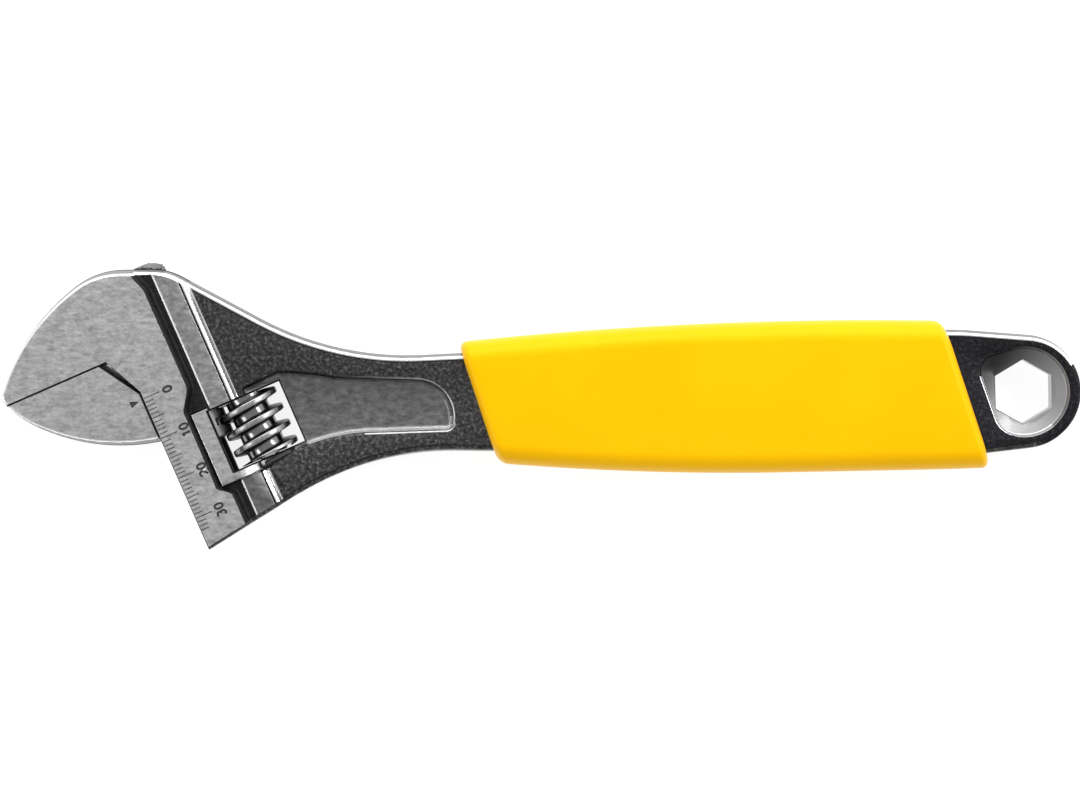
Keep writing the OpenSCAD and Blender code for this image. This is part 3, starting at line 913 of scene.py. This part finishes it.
def bore_cutter():
    """The bore that the rail slides in, and the vent from its end."""
    mouth = BOSS_T - 0.5
    # the bore's walls take the painted shade steel
    return turned("bore", [(mouth, 0), (mouth, VENT_R), (BORE_END_T, VENT_R), (BORE_END_T, BORE_R),
                           (FAR, BORE_R), (FAR, 0)], 0, PAINTED_SHADE)


def slot_cutter():
    """The slot that the plate between the jaw and its rail slides in."""
    return cut_box("slot", -20, 0, THROAT[1][1] + 0.2, FAR, PLATE_H + SIDE_PLAY, SATIN_AND_GLINT)


def pin_cutter():
    """The holes for the worm's pin: narrow at its tip, wider for its screwed end."""
    tip, foot = PIN_T
    start, end = tip - 0.4, foot + 8
    return turned("pin_hole", [(start, 0), (start, PIN_HOLE_R), (SCREW_HOLE_T, PIN_HOLE_R),
                               (SCREW_HOLE_T, SCREW_HOLE_R), (end, SCREW_HOLE_R), (end, 0)], WORM_N, SATIN_AND_GLINT)


def build_body():
    body = two_skins("wrench_body", body_lines(), body_keep, body_height, body_paint, BODY_STEELS)
    for tool in (bore_cutter(), slot_cutter(), pin_cutter()):
        combine(body, tool, "DIFFERENCE")
    for side in (1, -1):
        for layer in range(3):
            combine(body, scale_marks(side, layer), "DIFFERENCE")
    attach(body, "body")
    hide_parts("body")


# ---- movable jaw ----

JAW_LINE = chain(JAW)
JAW_FRONT_N = FRONT_N - SIDE_PLAY
JAW_THROAT_N = THROAT[0][0] - 1.8
JAW_STEELS = [GROUND, POLISHED_AND_GLINT, FLOOR, PAINTED_SHADE, DARK_WEB_AND_SHADE]
JAW_EDGE = head_line((-FAR, JAW_GAP), (JAW_THROAT_N, JAW_GAP), (JAW_FRONT_N, THROAT[1][1] + 0.3),
                     (JAW_FRONT_N, FAR))
JAW_AREA = JAW_EDGE + [head_point(-FAR, FAR)]
RAIL_CHAMFER = 0.5
TOOTH_ROOT_N = 2.9
TOOTH_TIP_W = 1.7
TOOTH_ROOT_W = 2.4


def jaw_height(x, y):
    """Half thickness of the jaw."""
    d = depth_inside(x, y, JAW_LINE)
    z = forged_side(d, HEAD_H + 0 * d, HIGH_RUN, SIDE_ROUND)
    near = line_distance(x, y, JAW_EDGE, False)
    return np.where(z > EDGE_CUT * 2, z - np.maximum(EDGE_CUT - near, 0), z)


def jaw_paint(centre, slope):
    """Which of the jaw's materials each face has."""
    x, y = centre[:, 0], centre[:, 1]
    edge = depth_inside(x, y, JAW_LINE)
    upright = slope < UPRIGHT
    slots, use = painter(JAW_STEELS, len(x), GROUND)
    # polished round edges, with painted shade lines at their foot and along the foot of the side, on the
    # chamfers and on the throat's walls
    use(POLISHED_AND_GLINT, edge < HIGH_RUN + SIDE_ROUND * 0.7)
    use(DARK_WEB_AND_SHADE, edge < HIGH_RUN + SIDE_ROUND * 0.1)
    use(FLOOR, edge < HIGH_RUN + 0.01)
    use(PAINTED_SHADE, edge < OUTLINE_DARK)
    use(PAINTED_SHADE, (slope < LEVEL) & (line_distance(x, y, JAW_EDGE, False) < EDGE_CUT))
    use(GROUND, upright)
    use(PAINTED_SHADE, upright & (line_distance(x, y, JAW_EDGE[1:3], False) < 0.3))
    return slots


def tooth_spaces():
    """Cutters for the gaps between the rack's teeth, which lean with the worm's thread."""
    depth = RAIL_R - TOOTH_ROOT_N + 1
    wide = (PITCH - TOOTH_TIP_W) / 2 + (TOOTH_ROOT_W - TOOTH_TIP_W) / 2 / (depth - 1)
    narrow = (PITCH - TOOTH_ROOT_W) / 2
    lean = math.tan(math.radians(TOOTH_LEAN))
    points, faces = [], []
    for i in range(-1, TEETH):
        t = TOOTH_T - PITCH * (i + 0.5)
        rows = [[(TOOTH_ROOT_N + a, t - lean * z + b, z)
                 for a, b in ((0, -narrow), (depth, -wide), (depth, wide), (0, narrow))] for z in (-8, 8)]
        faces += [[len(points) + k for k in face] for face in swept(rows)]
        points += rows[0] + rows[1]
    # the cut faces of the rack take the painted shade steel
    return mesh_object("tooth_spaces", head_to_frame(points), faces, [PAINTED_SHADE])


def arrow_mark(side):
    """The pointer stamped on the jaw, which reads against the scale."""
    outline = head_line((-13.2, 10.4), (-11.1, 11.2), (-13.2, 12.0))
    low, high = sorted((side * (HEAD_H - MARK_DEPTH), side * (HEAD_H + 1)))
    return prisms("arrow", [outline], low, high, INK)


def build_rail():
    """The rail, with chamfered ends and its rack of teeth."""
    first, last = RAIL_T
    end_r = RAIL_R - RAIL_CHAMFER
    rail = turned("rail", [(first, 0), (first, end_r), (first + RAIL_CHAMFER, RAIL_R),
                           (last - RAIL_CHAMFER, RAIL_R), (last, end_r), (last, 0)], 0, RAIL_SHADE_STEEL, 96)
    return combine(rail, tooth_spaces(), "DIFFERENCE")


def build_jaw():
    lines = [(chain(JAW, d), True) for d in [0, OUTLINE_DARK, *side_rows(HIGH_RUN)]]
    inner = head_line((-FAR, JAW_GAP + EDGE_CUT), (JAW_THROAT_N - 0.1, JAW_GAP + EDGE_CUT),
                      (JAW_FRONT_N - EDGE_CUT, THROAT[1][1] + 0.36), (JAW_FRONT_N - EDGE_CUT, FAR))
    lines += [(JAW_EDGE, False), (inner, False)]
    jaw = two_skins("jaw_with_rack", lines, lambda x, y: inside(x, y, JAW_LINE) & inside(x, y, JAW_AREA),
                    jaw_height, jaw_paint, JAW_STEELS)
    rail = build_rail()
    plate = prisms("plate", [rectangle(FRONT_N - 1, 0.5, *PLATE_T)], -PLATE_H, PLATE_H, SATIN_AND_GLINT)
    combine(plate, rail, "UNION")
    combine(jaw, plate, "UNION")
    for side in (1, -1):
        combine(jaw, arrow_mark(side), "DIFFERENCE")
    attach(jaw, "jaw")
    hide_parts("movable_jaw")


# ---- worm, pin and spring ----

WORM_R = 7.5
CORE_R = 4.7
WORM_L = 14.8
WORM_CHAMFER = 0.7
COUNTERBORE_R = 3.8      # the counterbore holds the spring
COUNTERBORE_L = 4.9
RIDGE_T = 21.0           # where the ridge's handle side crosses the mid-plane
CREST_W = 1.3
ROOT_W = 2.1
THREAD_FILLET = 0.3
THREAD_TURNS = 6         # swept, more than the worm is long
PER_TURN = 96            # sections in each turn
# the crests take the lighter painted highlight copy and the flanks the near-black painted shade copy
WORM_STEELS = [WORM_STEEL, CREST_LIT_STEEL, FLANK_SHADE_STEEL]
THREAD_STRIPS = (0, 2, 2, 2, 1, 1, 1, 1, 1, 2, 2, 2, 0)  # which of them each strip of the thread has


def thread_profile():
    """One pitch of the thread: pairs of distance along the worm and radius."""
    half_crest, half_root = CREST_W / 2, ROOT_W / 2
    flank = (half_root - half_crest) / (WORM_R - CORE_R)
    foot = [(-PITCH / 2, CORE_R), (-half_root - THREAD_FILLET, CORE_R),
            (-half_root - THREAD_FILLET * 0.25, CORE_R + THREAD_FILLET * 0.25),
            (-half_root + flank * THREAD_FILLET, CORE_R + THREAD_FILLET)]
    edge = [(-half_crest - flank * 0.25, WORM_R - 0.25), (-half_crest + 0.06, WORM_R - 0.08),
            (-half_crest + 0.2, WORM_R)]
    left = foot + edge
    return left + [(-s, r) for s, r in reversed(left)][:-1]


def thread():
    """A rod with the worm's thread: its profile swept along a helix, with closed ends."""
    profile = thread_profile()
    size = len(profile)
    start = RIDGE_T - PITCH
    total = THREAD_TURNS * PER_TURN
    points = []
    for i in range(total + 1):
        a = 2 * math.pi * i / PER_TURN
        for s, r in profile:
            points.append((WORM_N + r * math.cos(a), start + PITCH * i / PER_TURN + s, r * math.sin(a)))

    def index(i, j):
        return (i + PER_TURN) * size if j == size else i * size + j

    faces = []
    for i in range(total):
        for j in range(size if i < total - PER_TURN else size - 1):
            faces.append([index(i, j), index(i, j + 1), index(i + 1, j + 1), index(i + 1, j)])
    low, high = len(points), len(points) + 1
    points += [(WORM_N, start - PITCH, 0), (WORM_N, start + PITCH * (THREAD_TURNS + 1), 0)]
    bottom = [i * size for i in range(PER_TURN + 1)] + [j for j in range(size - 1, 0, -1)]
    top = [i * size + size - 1 for i in range(total - PER_TURN, total + 1)]
    top += [total * size + j for j in range(size - 2, -1, -1)]
    for a, b in zip(bottom, bottom[1:] + bottom[:1]):
        faces.append([low, a, b])
    for a, b in zip(top, top[1:] + top[:1]):
        faces.append([high, b, a])
    slots = list(THREAD_STRIPS) * (total - PER_TURN) + list(THREAD_STRIPS[:-1]) * PER_TURN
    slots += [0] * (len(faces) - len(slots))
    return mesh_object("worm_screw", head_to_frame(points), faces, WORM_STEELS, slots)


def worm_blank():
    """What is left of the rod: chamfered ends, the pin's hole and the spring's counterbore."""
    first, last = WORM_T - WORM_L / 2, WORM_T - WORM_L / 2 + WORM_L
    end_r, full_r, deep = WORM_R - WORM_CHAMFER, WORM_R + 0.1, first + COUNTERBORE_L
    profile = [(first, end_r), (first + WORM_CHAMFER, full_r), (last - WORM_CHAMFER, full_r), (last, end_r),
               (last, PIN_HOLE_R), (deep, PIN_HOLE_R), (deep, COUNTERBORE_R), (first, COUNTERBORE_R)]
    return turned("blank", profile, WORM_N, WORM_STEEL, 96)


def build_worm():
    worm = thread()
    combine(worm, worm_blank(), "INTERSECT")
    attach(worm, "worm")
    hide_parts("worm")


PIN_R = 2.3
PIN_CHAMFER = 0.3
SCREW_T = 36.2           # where the screwed end starts
SCREW_R = 3.2
SCREW_ROOT_R = 2.8
SLOT_W = 1.2
SLOT_DEPTH = 1.4


def build_pin():
    """The worm's axle, with screw crests 1 mm apart and a screwdriver slot at its foot."""
    tip, foot = PIN_T
    profile = [(tip, 0), (tip, PIN_R - PIN_CHAMFER), (tip + PIN_CHAMFER, PIN_R),
               (SCREW_T + 0.1, PIN_R), (SCREW_T + 0.1, SCREW_ROOT_R)]
    for i in range(int(foot - SCREW_T)):
        at = SCREW_T + 0.15 + i
        profile += [(at, SCREW_ROOT_R), (at + 0.35, SCREW_R), (at + 0.5, SCREW_R), (at + 0.85, SCREW_ROOT_R)]
    profile += [(foot, SCREW_ROOT_R), (foot, 0)]
    pin = turned("slotted_pin", profile, WORM_N, PIN_STEEL, 64)
    slot = cut_box("pin_slot", WORM_N - SLOT_W / 2, WORM_N + SLOT_W / 2, foot - SLOT_DEPTH, foot + 1,
                   2 * SCREW_R, PIN_STEEL)
    combine(pin, slot, "DIFFERENCE")
    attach(pin, "body")
    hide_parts("worm_pin")


SPRING_R = 3.2           # to the wire's centre
WIRE_R = 0.4
SPRING_L = 4.9
SPRING_TURNS = 4


def build_spring():
    per_turn, sides = 48, 14
    rise = (SPRING_L - 2 * WIRE_R) / SPRING_TURNS
    first = WINDOW[2] + 0.05 + WIRE_R
    rows = []
    for i in range(SPRING_TURNS * per_turn + 1):
        a = 2 * math.pi * i / per_turn
        row = []
        for b in np.arange(sides) * 2 * math.pi / sides:
            r = SPRING_R + WIRE_R * math.cos(b)
            row.append((WORM_N + r * math.cos(a), first + rise * i / per_turn + WIRE_R * math.sin(b),
                        r * math.sin(a)))
        rows.append(row)
    spring = mesh_object("coil_spring", head_to_frame(np.vstack(rows)), swept(rows), [WIRE_STEEL],
                         smooth_angle=50)
    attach(spring, "body")
    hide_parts("worm_spring")


# ---- grip ----

GRIP_ENDS = (-14.7, 98.1)  # where the slanted ends cross the handle's axis
GRIP_SLANT = math.tan(math.radians(17.3))
GRIP_H = 7.7                 # half thickness
GRIP_SIDE = 5.0              # how wide and how tall the rounding of its four edges is
GRIP_EDGE = 5.0
GRIP_RIM = 2.2               # radius of its rounded ends
GRIP_FIT = 0.1               # round the handle


def grip_up(x):
    """Half width of the sleeve on the fixed jaw's side: widest at x = 66, and narrowing both ways."""
    return 17.4 - max(66 - x, 0) ** 2 / 1900 - max(x - 66, 0) ** 2 / 1700


def grip_down(x):
    """Half width on the other side: full from x = 50 to 80."""
    return 17.6 - max(50 - x, 0) ** 2 / 1250 - max(x - 80, 0) ** 2 / 1700


def grip_row(x, inset):
    """One slanted section of the sleeve, drawn in by inset."""
    steps = 12
    up, down, high = grip_up(x) - inset - GRIP_SIDE, GRIP_SIDE - grip_down(x) + inset, GRIP_H - inset
    row = []
    for centre, first in ((up, 0), (down, 90), (down, 180), (up, 270)):
        for i in range(steps + 1):
            a = math.radians(first + 90 * i / steps)
            y = centre + GRIP_SIDE * math.cos(a)
            z = (high - GRIP_EDGE) * (1 if first < 180 else -1) + GRIP_EDGE * math.sin(a)
            row.append((x - y * GRIP_SLANT, y, z))
    return row


def build_grip():
    rim = [(GRIP_RIM * (1 - math.sin(a)), GRIP_RIM * (1 - math.cos(a)))
           for a in np.radians(np.linspace(90, 0, 8))]
    left, right = GRIP_ENDS
    stations = [(left + a, b) for a, b in rim]
    stations += [(x, 0) for x in np.linspace(left + GRIP_RIM, right - GRIP_RIM, 42)[1:-1]]
    stations += [(right - a, b) for a, b in reversed(rim)]
    rows = [grip_row(x, inset) for x, inset in stations]
    grip = mesh_object("vinyl_grip", to_frame(np.vstack(rows)), swept(rows), [VINYL], smooth_angle=40)
    hollow = prisms("hollow", [chain(BODY, -GRIP_FIT)], -HANDLE_H - GRIP_FIT, HANDLE_H + GRIP_FIT, VINYL)
    combine(grip, hollow, "DIFFERENCE")
    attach(grip, "body")
    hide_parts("grip")


build_body()
build_jaw()
build_worm()
build_pin()
build_spring()
build_grip()


# ---- floor, light and camera ----

FLOOR_HALF = 3.0         # half the floor's width, in metres
FLOOR_GLOW = 0.85        # keeps the pale floor white in the picture


def build_floor():
    mesh = bpy.data.meshes.new("table_top")
    corners = [(x * FLOOR_HALF, y * FLOOR_HALF, 0) for x, y in ((-1, -1), (1, -1), (1, 1), (-1, 1))]
    mesh.from_pydata(corners, [], [(0, 1, 2, 3)])
    material, _, principled = shader("table_white", (0.35, 0.35, 0.35), 0, 0.8, Specular_IOR_Level=0.1)
    principled.inputs["Emission Color"].default_value = (1, 1, 1, 1)
    principled.inputs["Emission Strength"].default_value = FLOOR_GLOW
    mesh.materials.append(material)
    obj = bpy.data.objects.new("table_top", mesh)
    bpy.context.scene.collection.objects.link(obj)


def area_light(name, place, target, size, power):
    """A soft light of that size and power, at place and turned towards target, in metres."""
    data = bpy.data.lights.new(name, "AREA")
    data.shape = "RECTANGLE"
    data.size, data.size_y = size
    data.energy = power
    light = bpy.data.objects.new(name, data)
    light.location = place
    light.rotation_euler = (Vector(target) - Vector(place)).to_track_quat("-Z", "Y").to_euler()
    bpy.context.scene.collection.objects.link(light)


DOME = (1.0, 0.52)       # brightness of the surroundings near the table and overhead
DOME_RISE = (0.2, 0.85)  # heights between which it changes
SHADE_SIDE = (0.45, 1.0)  # how much of it is left on the near side, and elsewhere
SHADE_REACH = (-0.75, -0.1)  # how far to the near side that starts and ends


def build_lights():
    world = bpy.data.worlds.new("studio")
    world.use_nodes = True
    tree = world.node_tree
    place = tree.nodes.new("ShaderNodeTexCoord")
    parts = tree.nodes.new("ShaderNodeSeparateXYZ")
    tree.links.new(place.outputs["Generated"], parts.inputs[0])
    sky = tree.nodes["Background"]
    sky.inputs["Color"].default_value = (1, 1, 1, 1)
    both = tree.nodes.new("ShaderNodeMath")
    both.operation = "MULTIPLY"
    tree.links.new(remap(tree, parts.outputs["Z"], *DOME, *DOME_RISE), both.inputs[0])
    tree.links.new(remap(tree, parts.outputs["Y"], *SHADE_SIDE, *SHADE_REACH), both.inputs[1])
    tree.links.new(both.outputs["Value"], sky.inputs["Strength"])
    bpy.context.scene.world = world
    bpy.context.scene.view_settings.view_transform = "Standard"
    area_light("far_soft", (0, 1.1, 0.75), (0, 0, 0), (2.4, 0.7), 16)
    area_light("side_soft", (0.77, 0.35, 0.77), (-0.08, 0, 0), (0.5, 0.25), 4)
    area_light("left_soft", (-0.95, -0.25, 0.8), (-0.08, 0, 0), (0.5, 0.3), 2)
    area_light("near_soft", (0, -1.4, 0.8), (0, 0, 0), (2.0, 0.15), 1)


CAMERA_FAR = 0.75        # from the wrench's middle, in metres
CAMERA_TILT = 1.5        # degrees from straight above, towards the fixed jaw's side
CAMERA_ROLL = 1.08       # degrees that the picture is turned
VIEW_WIDTH = 0.2479      # what the picture spans at the wrench, in metres


def build_camera():
    data = bpy.data.cameras.new("camera")
    camera = bpy.data.objects.new("camera", data)
    bpy.context.scene.collection.objects.link(camera)
    data.sensor_width = 36
    data.lens = data.sensor_width * CAMERA_FAR / VIEW_WIDTH
    tilt = Matrix.Rotation(math.radians(-CAMERA_TILT), 4, "X")
    roll = Matrix.Rotation(math.radians(-CAMERA_ROLL), 4, "Z")
    target = Matrix.Translation(Vector(to_frame((-0.35, -0.7, HEAD_H))))
    camera.matrix_world = target @ tilt @ Matrix.Translation((0, 0, CAMERA_FAR)) @ roll
    data.clip_start, data.clip_end = 0.01, 20
    bpy.context.scene.camera = camera


build_floor()
build_lights()
build_camera()
